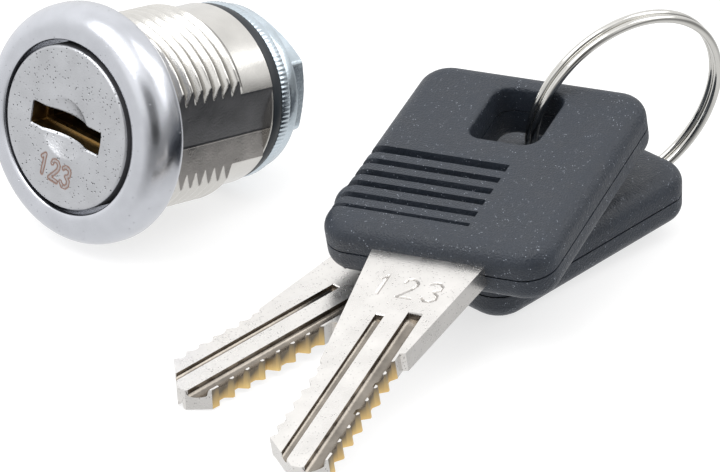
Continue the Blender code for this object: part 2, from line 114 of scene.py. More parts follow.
# keys, in millimetres
BLADE_T = 2.0
TIP_X = 30.3
CUT_SPAN = (14.5, 28.6)            # where the right edge is cut brass
GROOVES = ((8.7, -1.28, -0.40, 0.55), (7.7, 1.52, 2.95, 0.75))  # start, low and high side, depth
GROOVE_COLUMNS = (15, 19)
BACK_GROOVE = (8.7, 0.3, 1.1, 0.08, 0.55)  # start, low and high side, slope width, depth
HEAD = (27.0, 23.0, 5.5, 3.0)      # length, width, thickness, corner radius
HEAD_ROUND = 1.7
SEAM = 0.16
HOLE = (-24.3, -16.25, -3.2, 3.85, 1.5)    # x limits, y limits, corner radius
HOLE_ROUND = 0.45
GRIP_X = (-12.3, -10.42, -8.66, -6.95, -5.13, -3.5)
GRIP_WIDTH = (1.0, 0.75, 0.8, 0.75, 0.7, 0.4)
GRIP_DEPTH = (0.75, 0.6, 0.6, 0.6, 0.55, 0.4)
GRIP_END = 2.85

# split ring, in millimetres
RING_R = 10.25
RING_WIRE_R = 0.4
RING_PITCH = 0.86
RING_TURNS = 1.95

# studio: azimuth and elevation in degrees, azimuth 0 towards the camera and positive to its right
TENT_LEVEL = 0.88
HORIZON_DARK = 0.58
SOFT_BOXES = (                     # azimuth, elevation, inner and outer angle, amount of light
    (84, 31, 6, 20, 0.75),
    (-42, 30, 8, 26, 0.35),
    (-10, 76, 16, 36, 0.40),
    (14, 25, 8, 31, -0.66),
    (-140, 25, 20, 60, 0.22),
    (150, 40, 15, 40, 0.12),
)

# camera
CAMERA_DISTANCE = 0.511
CAMERA_ELEVATION = math.radians(28.5)
CAMERA_LENS = 270.0


def placed(place, turn):
    return Matrix.Translation(SHIFT + place) @ Euler(turn).to_matrix().to_4x4()


LOCK = placed(LOCK_PLACE, LOCK_TURN)
PLUG = LOCK @ Matrix.Rotation(KEYWAY_TURN, 4, "Z")
RING = placed(RING_PLACE, RING_TURN)


# ---------------------------------------------------------------- meshes
def piece(name, points, faces, place, body, materials, replaces=(), sharp=35, face_slots=None):
    """A closed mesh from points in millimetres, in the frame `place`, riding on a body."""
    mesh = bpy.data.meshes.new(name)
    mesh.from_pydata((np.asarray(points) * MM).tolist(), [], faces)
    if face_slots is not None:
        mesh.polygons.foreach_set("material_index", face_slots)
    bm = bmesh.new()
    bm.from_mesh(mesh)
    bmesh.ops.remove_doubles(bm, verts=bm.verts, dist=0.0000005)
    bmesh.ops.dissolve_degenerate(bm, edges=bm.edges, dist=0.0000002)
    bmesh.ops.recalc_face_normals(bm, faces=bm.faces)
    bm.to_mesh(mesh)
    bm.free()
    mesh.transform(place)
    for material in materials:
        mesh.materials.append(material)
    mesh.shade_smooth()
    mesh.set_sharp_from_angle(angle=math.radians(sharp))
    obj = bpy.data.objects.new(name, mesh)
    bpy.context.scene.collection.objects.link(obj)
    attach(obj, body)
    if replaces:
        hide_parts(*replaces)
    return obj


def skin(rings, wrap=False, caps=False):
    """Points and quads of a surface through closed rings, an array of ring x point x 3."""
    rings = np.asarray(rings, float)
    count, around, _ = rings.shape
    grid = np.arange(count * around).reshape(count, around)
    if wrap:
        grid = np.vstack([grid, grid[:1]])
    low, high = grid[:-1], grid[1:]
    corners = [low, high, np.roll(high, -1, axis=1), np.roll(low, -1, axis=1)]
    faces = np.stack(corners, axis=2).reshape(-1, 4).tolist()
    if caps:
        faces.append(grid[0].tolist())
        faces.append(grid[-1][::-1].tolist())
    return rings.reshape(-1, 3), faces


def circle(angles, radius, z):
    """One ring at a height; the radius is a number or one for each angle."""
    reach = np.broadcast_to(radius, angles.shape).astype(float)
    return np.stack([reach * np.cos(angles), reach * np.sin(angles), np.full(len(angles), float(z))], axis=1)


def revolve(profile, steps):
    """Rings from (radius, z) points; a radius may be a function of the angle."""
    angles = np.linspace(0, 2 * math.pi, steps, endpoint=False)
    rings = []
    for radius, z in profile:
        reach = radius(angles) if callable(radius) else radius
        rings.append(circle(angles, reach, z))
    return rings


def tube(path, radius, sides, closed=False):
    """A round tube along a path of points, with rounded ends."""
    path = np.asarray(path, float)
    tangent = np.gradient(path, axis=0)
    tangent /= np.linalg.norm(tangent, axis=1)[:, None]
    normal = np.cross(tangent[0], (0.3, 0.2, 0.93))
    angles = np.linspace(0, 2 * math.pi, sides, endpoint=False)
    frames = []
    for direction in tangent:
        normal = normal - direction * normal.dot(direction)
        normal /= np.linalg.norm(normal)
        frames.append((normal, np.cross(direction, normal)))
    rings = []
    ends = [(0.0, 0.55), (0.35, 0.85), (0.8, 1.0)]
    for index, (side, up) in enumerate(frames):
        round_section = np.cos(angles)[:, None] * side + np.sin(angles)[:, None] * up
        if index == 0:
            for along, size in ends:
                rings.append(path[0] + tangent[0] * (along - 0.8) * radius + round_section * radius * size)
        elif index == len(frames) - 1:
            for along, size in reversed(ends):
                rings.append(path[-1] - tangent[-1] * (along - 0.8) * radius + round_section * radius * size)
        else:
            rings.append(path[index] + round_section * radius)
    return skin(rings, caps=True)


def smooth(value, low, high):
    t = np.clip((value - low) / (high - low), 0, 1)
    return t * t * (3 - 2 * t)


def fillet(distance, radius):
    """How far a rounded edge drops at this distance inside the edge."""
    inside = np.clip(radius - distance, 0, radius)
    return radius - np.sqrt(np.maximum(radius ** 2 - inside ** 2, 0))


def rounded_box_distance(x, y, box, corner):
    """Distance inside a rounded rectangle given as x0, x1, y0, y1."""
    x0, x1, y0, y1 = box
    across = np.abs(x - (x0 + x1) / 2) - ((x1 - x0) / 2 - corner)
    along = np.abs(y - (y0 + y1) / 2) - ((y1 - y0) / 2 - corner)
    outside = np.hypot(np.maximum(across, 0), np.maximum(along, 0))
    return corner - outside - np.minimum(np.maximum(across, along), 0)


def stroke_distance(x, y, lines, centre, size, turn):
    """Distance to the strokes of one digit, drawn size high about its centre."""
    cos, sin = math.cos(turn), math.sin(turn)
    u = ((x - centre[0]) * cos + (y - centre[1]) * sin) / (size / 2)
    v = ((y - centre[1]) * cos - (x - centre[0]) * sin) / (size / 2)
    nearest = np.full(np.shape(u), 9.0)
    for (ax, ay), (bx, by) in zip(lines[:-1], lines[1:]):
        length = (bx - ax) ** 2 + (by - ay) ** 2
        t = np.clip(((u - ax) * (bx - ax) + (v - ay) * (by - ay)) / length, 0, 1)
        nearest = np.minimum(nearest, np.hypot(u - ax - t * (bx - ax), v - ay - t * (by - ay)))
    return nearest * size / 2


DIGITS = (
    ((-0.3, 0.62), (0.06, 1.0), (0.06, -1.0)),
    ((-0.46, 0.55), (-0.38, 0.85), (-0.1, 1.0), (0.22, 0.95), (0.44, 0.7), (0.45, 0.4), (0.3, 0.05),
     (-0.5, -1.0), (0.52, -1.0)),
    ((-0.46, 0.75), (-0.2, 1.0), (0.18, 1.0), (0.44, 0.75), (0.42, 0.32), (0.06, 0.08), (0.44, -0.2),
     (0.48, -0.65), (0.2, -0.97), (-0.2, -1.0), (-0.5, -0.7)),
)


def float_attribute(obj, name, values):
    obj.data.attributes.new(name, "FLOAT", "POINT").data.foreach_set("value", values)


def local_points(obj, place):
    """The vertices of a piece in the frame it was modelled in, in millimetres."""
    points = np.empty(len(obj.data.vertices) * 3)
    obj.data.vertices.foreach_get("co", points)
    back = np.array(place.inverted())
    return (points.reshape(-1, 3) @ back[:3, :3].T + back[:3, 3]) / MM


# ---------------------------------------------------------------- materials
def node(tree, kind, inputs=None, **settings):
    made = tree.nodes.new(kind)
    for key, value in settings.items():
        setattr(made, key, value)
    for key, value in (inputs or {}).items():
        if isinstance(value, bpy.types.NodeSocket):
            tree.links.new(value, made.inputs[key])
        else:
            made.inputs[key].default_value = value
    return made


def remap(tree, value, low, high, to_low, to_high):
    made = node(tree, "ShaderNodeMapRange", {0: value, 1: low, 2: high, 3: to_low, 4: to_high})
    return made.outputs[0]


def maths(tree, operation, first, second):
    return node(tree, "ShaderNodeMath", {0: first, 1: second}, operation=operation).outputs[0]


def mix_colour(tree, factor, first, second):
    made = node(tree, "ShaderNodeMix", data_type="RGBA")
    for socket, value in ((made.inputs[0], factor), (made.inputs[6], first), (made.inputs[7], second)):
        if isinstance(value, bpy.types.NodeSocket):
            tree.links.new(value, socket)
        else:
            socket.default_value = value
    return made.outputs[2]


def noise(tree, coords, scale, detail=3.0):
    return node(tree, "ShaderNodeTexNoise", {"Vector": coords, "Scale": scale, "Detail": detail}).outputs[0]


def finish(name, colour, roughness, metallic, grain, blotch=0.06, pits=None, specks=None, attribute_tint=None):
    """A finish with fine grain and uneven tone.

    grain is (scale, height in mm), pits (scale, size, height in mm, darkening),
    specks (scale, threshold, colour) and the last argument (attribute, colour): a colour laid on where an
    attribute says, used for printed digits, for painted shade in thread valleys and for darkening towards
    the top of cut brass walls.
    """
    material = bpy.data.materials.new(name)
    material.use_nodes = True
    tree = material.node_tree
    shader = tree.nodes["Principled BSDF"]
    shader.inputs["Metallic"].default_value = metallic
    coords = node(tree, "ShaderNodeTexCoord").outputs["Object"]
    broad = noise(tree, coords, 420.0)
    fine = noise(tree, coords, grain[0], 2.0)
    dark = tuple(c * (1 - blotch) for c in colour) + (1.0,)
    light = tuple(min(1.0, c * (1 + blotch)) for c in colour) + (1.0,)
    base = mix_colour(tree, remap(tree, broad, 0.3, 0.7, 0.0, 1.0), dark, light)
    height = maths(tree, "MULTIPLY", fine, grain[1])
    if pits:
        scale, size, depth, darkening = pits
        cells = node(tree, "ShaderNodeTexVoronoi", {"Vector": coords, "Scale": scale}).outputs["Distance"]
        where = remap(tree, noise(tree, coords, scale * 0.55, 1.0), 0.41, 0.53, 0.0, 1.0)
        pit = maths(tree, "MULTIPLY", remap(tree, cells, size * 0.55, size, 1.0, 0.0), where)
        height = maths(tree, "SUBTRACT", height, maths(tree, "MULTIPLY", pit, depth))
        shade = maths(tree, "MULTIPLY", pit, darkening)
        base = mix_colour(tree, shade, base, tuple(c * 0.22 for c in colour) + (1.0,))
    if specks:
        scale, threshold, tint = specks
        cells = node(tree, "ShaderNodeTexVoronoi", {"Vector": coords, "Scale": scale}).outputs["Distance"]
        where = remap(tree, noise(tree, coords, scale * 0.4, 1.0), 0.56, 0.66, 0.0, 1.0)
        speck = maths(tree, "MULTIPLY", remap(tree, cells, threshold * 0.6, threshold, 1.0, 0.0), where)
        base = mix_colour(tree, speck, base, tint + (1.0,))
    if attribute_tint:
        attribute, tint = attribute_tint
        amount = node(tree, "ShaderNodeAttribute", attribute_name=attribute).outputs["Fac"]
        base = mix_colour(tree, amount, base, tint + (1.0,))
    tree.links.new(base, shader.inputs["Base Color"])
    uneven = remap(tree, broad, 0.25, 0.75, roughness * 0.82, roughness * 1.2)
    tree.links.new(uneven, shader.inputs["Roughness"])
    bump = node(tree, "ShaderNodeBump", {"Height": height, "Strength": 1.0, "Distance": MM})
    tree.links.new(bump.outputs[0], shader.inputs["Normal"])
    return material


MATS = {
    "chrome": finish("satin_chrome_flange", (0.63, 0.645, 0.69), 0.22, 1.0, (6500, 0.005), 0.05,
                     pits=(1500, 0.13, 0.02, 0.35)),
    "face": finish("satin_chrome_face", (0.57, 0.58, 0.605), 0.38, 1.0, (5600, 0.032), 0.07,
                   pits=(2900, 0.27, 0.05, 0.95), attribute_tint=("print_and_shade", (0.30, 0.16, 0.11))),
    # painted shade: the nickel's near-black attribute colour darkens the barrel's thread valleys
    "nickel": finish("bright_nickel", (0.70, 0.685, 0.655), 0.19, 1.0, (7000, 0.006), 0.05,
                     attribute_tint=("print_and_shade", (0.09, 0.085, 0.08))),
    # painted light and shade: the flats are one cast surface, coloured dark above the parting line and
    # lighter on the drafted side below it
    "shaded_flat": finish("cast_flat_painted_shade", (0.20, 0.20, 0.205), 0.34, 1.0, (5200, 0.03), 0.15),
    "draft": finish("cast_flat_lit_side", (0.44, 0.42, 0.40), 0.30, 1.0, (5200, 0.03), 0.2),
    # painted shade: near black for the plug head's side down in the gap round the plug
    "gap_shade": finish("painted_gap_shade", (0.05, 0.05, 0.055), 0.6, 0.0, (4200, 0.01), 0.1),
    # painted shade: the keyway walls take a much darker copy of the wafer brass
    "slot": finish("keyway_brass_painted_shade", (0.20, 0.135, 0.06), 0.38, 1.0, (5200, 0.02), 0.35),
    "brass": finish("wafer_brass", (0.62, 0.47, 0.24), 0.30, 1.0, (5200, 0.01), 0.15),
    "steel": finish("ring_steel", (0.66, 0.65, 0.62), 0.12, 1.0, (2400, 0.002), 0.04),
    "zinc": finish("blue_zinc", (0.62, 0.70, 0.76), 0.25, 1.0, (4200, 0.014), 0.14),
    # black, for the spacer washer behind the barrel's end
    "black_spacer": finish("black_washer", (0.014, 0.019, 0.024), 0.45, 0.0, (2400, 0.01), 0.1),
    "key": finish("key_nickel", (0.82, 0.80, 0.775), 0.28, 1.0, (5200, 0.011), 0.06,
                  pits=(3600, 0.24, 0.015, 0.5), attribute_tint=("print_and_shade", (0.42, 0.40, 0.38))),
    # the cut brass is coloured dark brown towards the top of its walls
    "cut": finish("cut_brass", (0.93, 0.63, 0.26), 0.36, 0.6, (3000, 0.01), 0.15,
                  attribute_tint=("darker_to_top", (0.20, 0.17, 0.13))),
    # partly the milled metal's own tone, partly painted shade: the groove floors are coloured a darker brown
    # grey than the key
    "milled": finish("milled_groove_tone_and_shade", (0.30, 0.27, 0.235), 0.24, 1.0, (3600, 0.012), 0.25),
    "plastic": finish("textured_plastic", (0.018, 0.024, 0.035), 0.44, 0.0, (5200, 0.12), 0.10,
                      specks=(4600, 0.27, (0.30, 0.33, 0.38))),
}


# ---------------------------------------------------------------- lock
def flange():
    profile = [(MOUTH_R, -0.5), (MOUTH_R, -0.25), (MOUTH_R + 0.05, -0.1), (MOUTH_R + 0.16, -0.01)]
    for step in range(41):
        angle = math.radians(90 - 90 * step / 40)
        profile.append((
            CROWN_R + (FLANGE_R - CROWN_R) * math.cos(angle) ** 0.9,
            WIDEST_Z + (CROWN_RISE - WIDEST_Z) * math.sin(angle) ** 0.95,
        ))
    profile += [(FLANGE_R, -3.2), (FLANGE_R - 0.04, -3.5), (FLANGE_R - 0.14, -3.8)]
    profile += [(FLANGE_BACK_R, -FLANGE_DEPTH), (10.5, -FLANGE_DEPTH), (BORE_R, -FLANGE_DEPTH)]
    profile += [(BORE_R, -MOUTH_DEPTH), (MOUTH_R, -MOUTH_DEPTH)]
    points, faces = skin(revolve(profile, 240), wrap=True)
    piece("lock_flange", points, faces, LOCK, "housing", [MATS["chrome"]], ["lock_housing"])


def thread_radius(angles, z):
    phase = (z - THREAD_TOP) / THREAD_PITCH - angles / (2 * math.pi)
    ridge = 1 - np.abs(2 * (phase - np.floor(phase)) - 1)
    ridge = np.clip(1.3 * ridge - 0.12, 0, 1)
    ends = smooth(z, THREAD_TOP + 0.05, THREAD_TOP - 0.35) * smooth(z, THREAD_END, THREAD_END + 0.5)
    return THREAD_R - THREAD_DEPTH + THREAD_DEPTH * ridge * ends


def flat_radius(angles):
    """Distance from the axis to the two flats, each with a ridge along its parting line."""
    cos = np.cos(angles)
    along = FLAT_OFFSET * np.sin(angles) / np.where(np.abs(cos) > 0.05, np.abs(cos), 0.05)
    off_line = along - PARTING
    draft = np.where(off_line > 0, 0.0, -0.045) * np.abs(off_line)
    ridge = 0.05 * (1 - smooth(np.abs(off_line), 0.03, 0.12))
    return np.where(np.abs(cos) > 0.3, (FLAT_OFFSET - draft + ridge) / np.maximum(np.abs(cos), 0.3), 99.0)


def channel_radius(angles):
    reach, half, _, _ = CHANNEL
    cos = np.maximum(np.abs(np.cos(angles)), 0.001)
    sin = np.maximum(np.abs(np.sin(angles)), 0.001)
    return np.maximum(BORE_R, np.minimum(reach / cos, half / sin))


def barrel():
    steps = 600
    angles = np.linspace(0, 2 * math.pi, steps, endpoint=False)
    flats = flat_radius(angles)
    heights = [-FLANGE_DEPTH, -FLANGE_DEPTH - 0.3, -FLANGE_DEPTH - 0.301]
    heights += list(np.arange(-4.45, THREAD_END - 0.1, -0.065)) + [-15.6, -16.6, -17.6, -18.4]
    profile = []
    for index, z in enumerate(heights):
        radius = thread_radius(angles, z)
        if index > 1:
            radius = np.minimum(radius, flats)
        profile.append((radius, z))
    profile.append((np.minimum(THREAD_R - THREAD_DEPTH, flats), BARREL_END))
    for inset, z in ((0.06, BARREL_END), (0.0, BARREL_END - 0.05), (0.0, LIP[1] + 0.05), (0.08, LIP[1])):
        profile.append((LIP[0] - inset, z))
    profile += [(BORE_R + 0.2, LIP[1]), (BORE_R, LIP[1] + 0.2), (BORE_R, CHANNEL[2])]
    profile += [(channel_radius(angles), CHANNEL[2]), (channel_radius(angles), CHANNEL[3])]
    profile += [(BORE_R, CHANNEL[3]), (BORE_R, -FLANGE_DEPTH)]
    points, faces = skin([circle(angles, radius, z) for radius, z in profile], wrap=True)
    on_flat = np.array([(flats < thread_radius(angles, z)) & (flats < 90) for z in heights[3:]])
    below = FLAT_OFFSET * np.tan(angles) * np.sign(np.cos(angles)) < PARTING
    # painted light and shade: faces on the flats take the dark copy above the parting line and the lighter
    # copy on the drafted side below it
    slots = np.zeros(len(faces), int)
    slots[3 * steps:(3 + len(on_flat)) * steps] = (on_flat * (1 + below)).ravel()
    materials = [MATS[name] for name in ("nickel", "shaded_flat", "draft")]
    obj = piece("lock_barrel", points, faces, PLUG, "housing", materials, ["lock_housing"],
                sharp=28, face_slots=slots)
    local = local_points(obj, PLUG)
    reach = np.hypot(local[:, 0], local[:, 1])
    # painted shade: the thread valleys get the nickel finish's near-black colour, strongest at the root
    valley = smooth(reach, THREAD_R - 0.3, THREAD_R - THREAD_DEPTH)
    threaded = (local[:, 2] < THREAD_TOP) & (local[:, 2] > THREAD_END)
    threaded &= np.abs(local[:, 0]) < FLAT_OFFSET - 0.3
    float_attribute(obj, "print_and_shade", 0.75 * valley * threaded)


def slot_outline():
    """The keyway's rim and the angles its points lead out to, 480 of each."""
    half_x, half_y = SLOT[0] / 2, SLOT[1] / 2
    corners = [(half_x, -half_y), (half_x, half_y), (-half_x, half_y), (-half_x, -half_y)]
    points = []
    for index, count in enumerate((80, 160, 80, 160)):
        start, end = np.array(corners[index]), np.array(corners[(index + 1) % 4])
        for step in range(count):
            points.append(start + (end - start) * step / count)
    points = np.array(points)
    lead = np.arctan2(points[:, 1] / half_y, points[:, 0] / half_x)
    corner = SLOT[2]
    inner = np.clip(np.abs(points), 0, (half_x - corner, half_y - corner)) * np.sign(points)
    offset = points - inner
    length = np.linalg.norm(offset, axis=1)[:, None]
    rounded = inner + offset / np.maximum(length, 0.0001) * np.minimum(length, corner)
    return rounded, lead


def face_height(x, y):
    centre_x, centre_y, radius, depth = DIMPLE
    sphere = (radius ** 2 + depth ** 2) / (2 * depth)
    distance = np.hypot(x - centre_x, y - centre_y)
    bowl = np.sqrt(np.maximum(sphere ** 2 - distance ** 2, 0)) - (sphere - depth)
    bowl = np.where(distance < radius, bowl, 0)
    return FACE_Z - bowl - 0.04 * smooth(digit_mark(x, y), 0.2, 1.0)


def digit_mark(x, y):
    """How brown the outlined digits on the plug are."""
    amount = np.zeros(np.shape(x))
    centres = ((-2.15, -4.38), (-0.62, -4.55), (0.85, -4.70))
    for lines, centre in zip(DIGITS, centres):
        distance = stroke_distance(x, y, lines, centre, 1.95, math.radians(-5))
        edge = 1 - smooth(np.abs(distance - 0.17), 0.03, 0.11)
        middle = 0.35 * (1 - smooth(distance, 0.02, 0.1))
        amount = np.maximum(amount, np.maximum(edge, middle))
    return amount


def plug():
    slot, lead = slot_outline()
    rim = np.stack([np.cos(lead), np.sin(lead)], axis=1)

    def level(flat, z):
        return np.column_stack([flat, np.broadcast_to(z, len(flat))])

    top = face_height(slot[:, 0], slot[:, 1])
    ledge = slot * (1 - 2 * SLOT_LEDGE[1] / np.array(SLOT[:2]))
    step = SLOT_LEDGE[0]
    rings = [level(ledge, SLOT_END), level(ledge, -6.0), level(ledge, step - 0.8), level(ledge, step),
             level(slot, step), level(slot, top - 0.14)]
    face_r = PLUG_HEAD_R - 0.26
    for t in np.concatenate([[0.028, 0.04], np.linspace(0.055, 1.0, 62)]):
        flat = slot * (1 - t) + rim * face_r * t
        rings.append(level(flat, face_height(flat[:, 0], flat[:, 1])))
    for radius, z in ((-0.18, -0.02), (-0.06, -0.10), (0.0, -0.20), (0.0, -2.95)):
        rings.append(level(rim * (PLUG_HEAD_R + radius), FACE_Z + z))
    side = len(rings) - 2
    for z in (-2.95, -5.0, -12.0, PLUG_END):
        rings.append(level(rim * PLUG_R, z))
    stud = np.minimum(STUD_R, STUD_FLAT / np.maximum(np.abs(rim[:, 1]), 0.001))[:, None] * rim
    round_stud = rim * STUD_R
    rings.append(level(round_stud, PLUG_END))
    rings += [level(round_stud, PLUG_END - 0.2), level(stud, PLUG_END - 0.2)]
    start, pitch, depth = STUD_THREAD
    for z in np.arange(start, STUD_END + 0.35, -0.08):
        phase = (z - start) / pitch - lead / (2 * math.pi)
        cut = depth * np.abs(2 * (phase - np.floor(phase)) - 1)
        reach = np.minimum(STUD_R - cut, STUD_FLAT / np.maximum(np.abs(rim[:, 1]), 0.001))
        rings.append(level(rim * reach[:, None], z))
    rings += [level(stud * 0.92, STUD_END + 0.1), level(stud * 0.86, STUD_END)]
    points, faces = skin(rings, caps=True)
    around = len(slot)
    slots = np.zeros(len(faces), int)
    slots[:5 * around] = 1                        # inside the keyway, brass painted dark as shade
    slots[2 * around:4 * around] = 3              # its brass step
    slots[side * around:] = 2
    slots[side * around:(side + 1) * around] = 4  # the head's side, painted near black as shade in the gap round the plug
    slots[-2] = 1                                 # the keyway's floor, brass painted dark as shade
    materials = [MATS[name] for name in ("face", "slot", "zinc", "brass", "gap_shade")]
    obj = piece("plug_body", points, faces, PLUG, "plug", materials, ["lock_plug"],
                sharp=40, face_slots=slots)
    cut_wafer_slots(obj)
    local = local_points(obj, PLUG)
    on_face = local[:, 2] > FACE_Z - 0.3
    float_attribute(obj, "print_and_shade", digit_mark(local[:, 0], local[:, 1]) * on_face)


def cut_wafer_slots(obj):
    """Slots and spring pockets for the wafers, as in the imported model."""
    boxes = []
    for index in range(WAFER_COUNT):
        middle = WAFER_FIRST_Z - index * WAFER_PITCH
        side = 1 if index % 2 == 0 else -1
        low, high = middle - WAFER_SLOT / 2, middle + WAFER_SLOT / 2
        boxes.append(((-2 * PLUG_R, -WAFER_SLOT_HALF, low), (2 * PLUG_R, WAFER_SLOT_HALF, high)))
        x_ends = sorted(side * x for x in POCKET[:2])
        y_ends = sorted(side * y for y in POCKET[2:])
        boxes.append(((x_ends[0], y_ends[0], low + POCKET_EASE), (x_ends[1], y_ends[1], high - POCKET_EASE)))
    bm = bmesh.new()
    for low, high in boxes:
        made = bmesh.ops.create_cube(bm, size=1.0)["verts"]
        for vert in made:
            vert.co = PLUG @ (Vector([high[k] if vert.co[k] > 0 else low[k] for k in range(3)]) * MM)
    mesh = bpy.data.meshes.new("wafer_slots")
    bm.to_mesh(mesh)
    bm.free()
    cutter = bpy.data.objects.new("wafer_slots", mesh)
    bpy.context.scene.collection.objects.link(cutter)
    modifier = obj.modifiers.new("slots", "BOOLEAN")
    modifier.object = cutter
    modifier.solver = "EXACT"
    modifier.use_self = True
    bpy.context.view_layer.update()
    evaluated = obj.evaluated_get(bpy.context.evaluated_depsgraph_get())
    obj.modifiers.clear()
    obj.data = bpy.data.meshes.new_from_object(evaluated)
    bpy.data.objects.remove(cutter, do_unlink=True)


def double_d(radius, flat):
    return lambda angles: np.minimum(radius, flat / np.maximum(np.abs(np.sin(angles)), 0.001))


def ring_plate(name, outer, inner, top, thickness, edge, material, steps=240):
    """A flat ring between two radii, each a number or a function of the angle, with softened edges."""
    angles = np.linspace(0, 2 * math.pi, steps, endpoint=False)
    out = outer(angles) if callable(outer) else np.full(steps, outer)
    into = inner(angles) if callable(inner) else np.full(steps, inner)
    low = top - thickness
    soft = edge * 0.3
    levels = (
        (out - edge, top), (out - soft, top - soft), (out, top - edge),
        (out, low + edge), (out - soft, low + soft), (out - edge, low),
        (into + soft, low), (into, low + soft), (into, top - soft), (into + soft, top),
    )
    points, faces = skin([circle(angles, radius, z) for radius, z in levels], wrap=True)
    return piece(name + "_plate", points, faces, PLUG, "plug", [MATS[material]], [name])


def cam_radius(angles):
    """Hub and straight arm, seen from the axis."""
    turned = angles - CAM_TURN
    cos = np.cos(turned)
    sin = np.abs(np.sin(turned))
    straight = np.where(cos > 0.05, np.minimum(CAM_REACH / np.maximum(cos, 0.05),
                                               CAM_HALF_WIDTH / np.maximum(sin, 0.001)), 0)
    far_x = CAM_REACH - CAM_CORNER
    far_y = CAM_HALF_WIDTH - CAM_CORNER
    middle = far_x * cos + far_y * sin
    inside = CAM_CORNER ** 2 - (far_x ** 2 + far_y ** 2 - middle ** 2)
    rounded = middle + np.sqrt(np.maximum(inside, 0))
    in_corner = (straight * cos > far_x) & (straight * sin > far_y) & (cos > 0)
    return np.maximum(CAM[0], np.where(in_corner, rounded, straight))


def hexagon(angles):
    turned = (angles - math.radians(38)) % math.radians(60) - math.radians(30)
    return NUT[0] / np.cos(turned)


def serrated(angles):
    """A rim with fine teeth."""
    count, depth = TEETH
    return STOP_WASHER[0] - depth * np.abs(2 * ((angles * count / math.pi) % 1) - 1)


def tail():
    hole = double_d(STUD_R + 0.3, STUD_FLAT + 0.3)
    top = TAIL_TOP
    # the spacer washer between the barrel's end and the stop washer is coloured black
    ring_plate("spacer_washer", SPACER[0], hole, top, SPACER[1], 0.2, "black_spacer")
    top -= SPACER[1] + TAIL_GAP
    ring_plate("stop_washer", serrated, hole, top, STOP_WASHER[1], 0.15, "zinc", 960)
    top -= STOP_WASHER[1] + TAIL_GAP
    ring_plate("cam", cam_radius, hole, top, CAM[1], 0.15, "zinc", 1440)
    top -= CAM[1] + TAIL_GAP
    spring_washer(top)
    top -= LOCK_WASHER[1] + TAIL_GAP
    nut(top)


def spring_washer(top):
    """A split ring of square wire, its two ends a little apart."""
    split = math.radians(200)
    outer, inner = LOCK_WASHER[0], STUD_R + 0.3
    low = top - LOCK_WASHER[1]
    soft = 0.1
    section = (
        (inner + soft, top), (outer - soft, top), (outer, top - soft), (outer, low + soft),
        (outer - soft, low), (inner + soft, low), (inner, low + soft), (inner, top - soft),
    )
    rings = []
    for angle in np.linspace(split + 0.07, split + 2 * math.pi - 0.07, 120):
        rings.append([(r * math.cos(angle), r * math.sin(angle), z) for r, z in section])
    points, faces = skin(rings, caps=True)
    piece("lock_washer_ring", points, faces, PLUG, "plug", [MATS["steel"]], ["lock_washer"])


def nut(top):
    steps = 360
    angles = np.linspace(0, 2 * math.pi, steps, endpoint=False)
    hexed = hexagon(angles)
    low = top - NUT[1]
    bore = STUD_R + 0.3
    levels = [(NUT[0] * 0.97, top)]
    for drop in np.linspace(0.04, 0.5, 8):
        levels.append((np.minimum(hexed, NUT[0] * 0.97 + drop * 1.9), top - drop))
    for drop in np.linspace(0.5, 0.04, 8):
        levels.append((np.minimum(hexed, NUT[0] * 0.97 + drop * 1.9), low + drop))
    levels += [(NUT[0] * 0.97, low), (bore + 0.3, low)]
    levels += [(bore, low + 0.3), (bore, top - 0.3), (bore + 0.3, top)]
    points, faces = skin([circle(angles, radius, z) for radius, z in levels], wrap=True)
    piece("cam_nut_hexagon", points, faces, PLUG, "plug", [MATS["zinc"]], ["cam_nut"], sharp=25)


def wafer_springs():
    for index in range(WAFER_COUNT):
        side = 1 if index % 2 == 0 else -1
        middle = WAFER_FIRST_Z - index * WAFER_PITCH
        path = []
        for t in np.linspace(0, 1, 91):
            angle = 2 * math.pi * 5 * t
            path.append((side * (-2.8 + 3.0 * t), side * (3.05 + 0.36 * math.cos(angle)),
                         middle + 0.36 * math.sin(angle)))
        points, faces = tube(path, 0.1, 8)
        name = "wafer_spring_%d" % (index + 1)
        piece(name + "_coil", points, faces, PLUG, "plug", [MATS["steel"]], [name])
    for index in range(WAFER_COUNT):
        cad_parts["wafer_%d" % (index + 1)].data.materials.clear()
        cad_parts["wafer_%d" % (index + 1)].data.materials.append(MATS["brass"])


# ---------------------------------------------------------------- keys
EDGE_STEPS = np.array([0.0, 0.03, 0.09, 0.2, 0.36, 0.58, 0.86, 1.2, 1.6])


